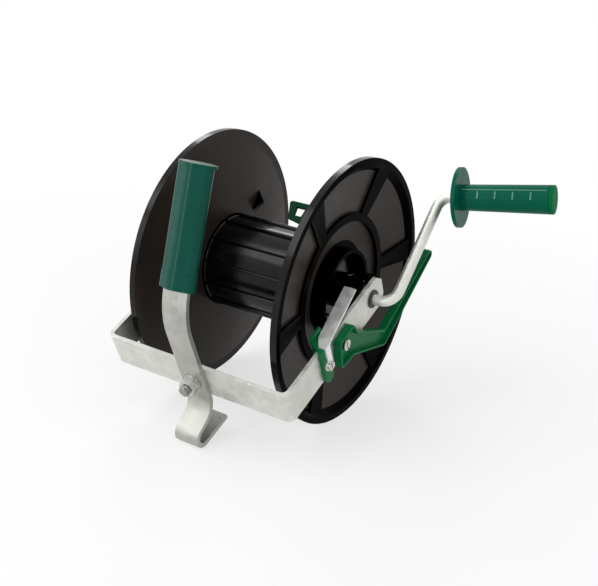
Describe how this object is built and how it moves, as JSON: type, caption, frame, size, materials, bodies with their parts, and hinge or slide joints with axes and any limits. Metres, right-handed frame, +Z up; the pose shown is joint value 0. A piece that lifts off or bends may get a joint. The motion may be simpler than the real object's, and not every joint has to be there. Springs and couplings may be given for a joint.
{
  "type": "electric fence reel",
  "caption": "Hand-cranked fence wire reel: dished drum on a cranked axle in a bent flat-bar frame, with carrying grip, hanging hook, lock lever and ratchet pawl",
  "frame": {"origin": "on the axle, in the middle of the winding barrel", "axes": "+X along the axle to the crank side, +Y to the back, away from the carrying handle, +Z up; the reel stands on both rims and its hook at z = -0.125 m"},
  "size_m": [0.3299, 0.2971, 0.2588],
  "materials": {
    "galvanised": "hot-dip galvanised, mottled grey",
    "zinc_plate": "bright zinc plate",
    "spring_steel": "plated spring steel",
    "grip_green": "moulded, satin gloss, deep green",
    "bright_green": "moulded, satin gloss, mid green",
    "drum_black": "moulded, glossy black",
    "nylon": "dark nylon"
  },
  "bodies": {
    "frame": {"u_frame": "galvanised", "axle_bushes": "nylon", "handle_strap": "galvanised", "hand_grip": "grip_green", "handle_bolt": "zinc_plate", "handle_nut": "zinc_plate", "handle_washer": "zinc_plate", "lever_saddle": "bright_green", "saddle_screw": "zinc_plate", "leaf_tab": "spring_steel"},
    "drum": {"flange_left": "drum_black", "flange_right": "drum_black", "barrel": "drum_black", "flange_screws": "zinc_plate", "line_hook": "bright_green", "crank_rod": "galvanised", "drive_pin": "spring_steel", "thrust_washers": "zinc_plate", "end_washer": "zinc_plate", "split_pin": "spring_steel", "grip_clip": "spring_steel"},
    "grip": {"crank_grip": "grip_green", "grip_cap": "bright_green"},
    "lever": {"lock_lever": "bright_green", "lift_cam": "bright_green", "pivot_screw": "zinc_plate", "pivot_nut": "zinc_plate"},
    "pawl": {"pawl_blade": "spring_steel"}
  },
  "joints": [
    {"name": "drum_spin", "type": "hinge", "parent": "frame", "child": "drum", "pos_m": [0, 0, 0], "axis": [1, 0, 0], "continuous": true},
    {"name": "grip_spin", "type": "hinge", "parent": "drum", "child": "grip", "pos_m": [0.1213, 0.07883, 0.08424], "axis": [0.9789, 0.1397, 0.1493], "continuous": true},
    {"name": "lever_swing", "type": "hinge", "parent": "frame", "child": "lever", "pos_m": [0.104, -0.05434, -0.02543], "axis": [1, 0, 0], "range_deg": [-12, 0]},
    {"name": "pawl_drop", "type": "hinge", "parent": "frame", "child": "pawl", "pos_m": [0.0985, -0.07828, -0.01439], "axis": [1, 0, 0], "range_deg": [-3.24, 0]}
  ],
  "couplings": [
    {"joint": "pawl_drop", "follows": "lever_swing", "ratio": 0.27}
  ]
}
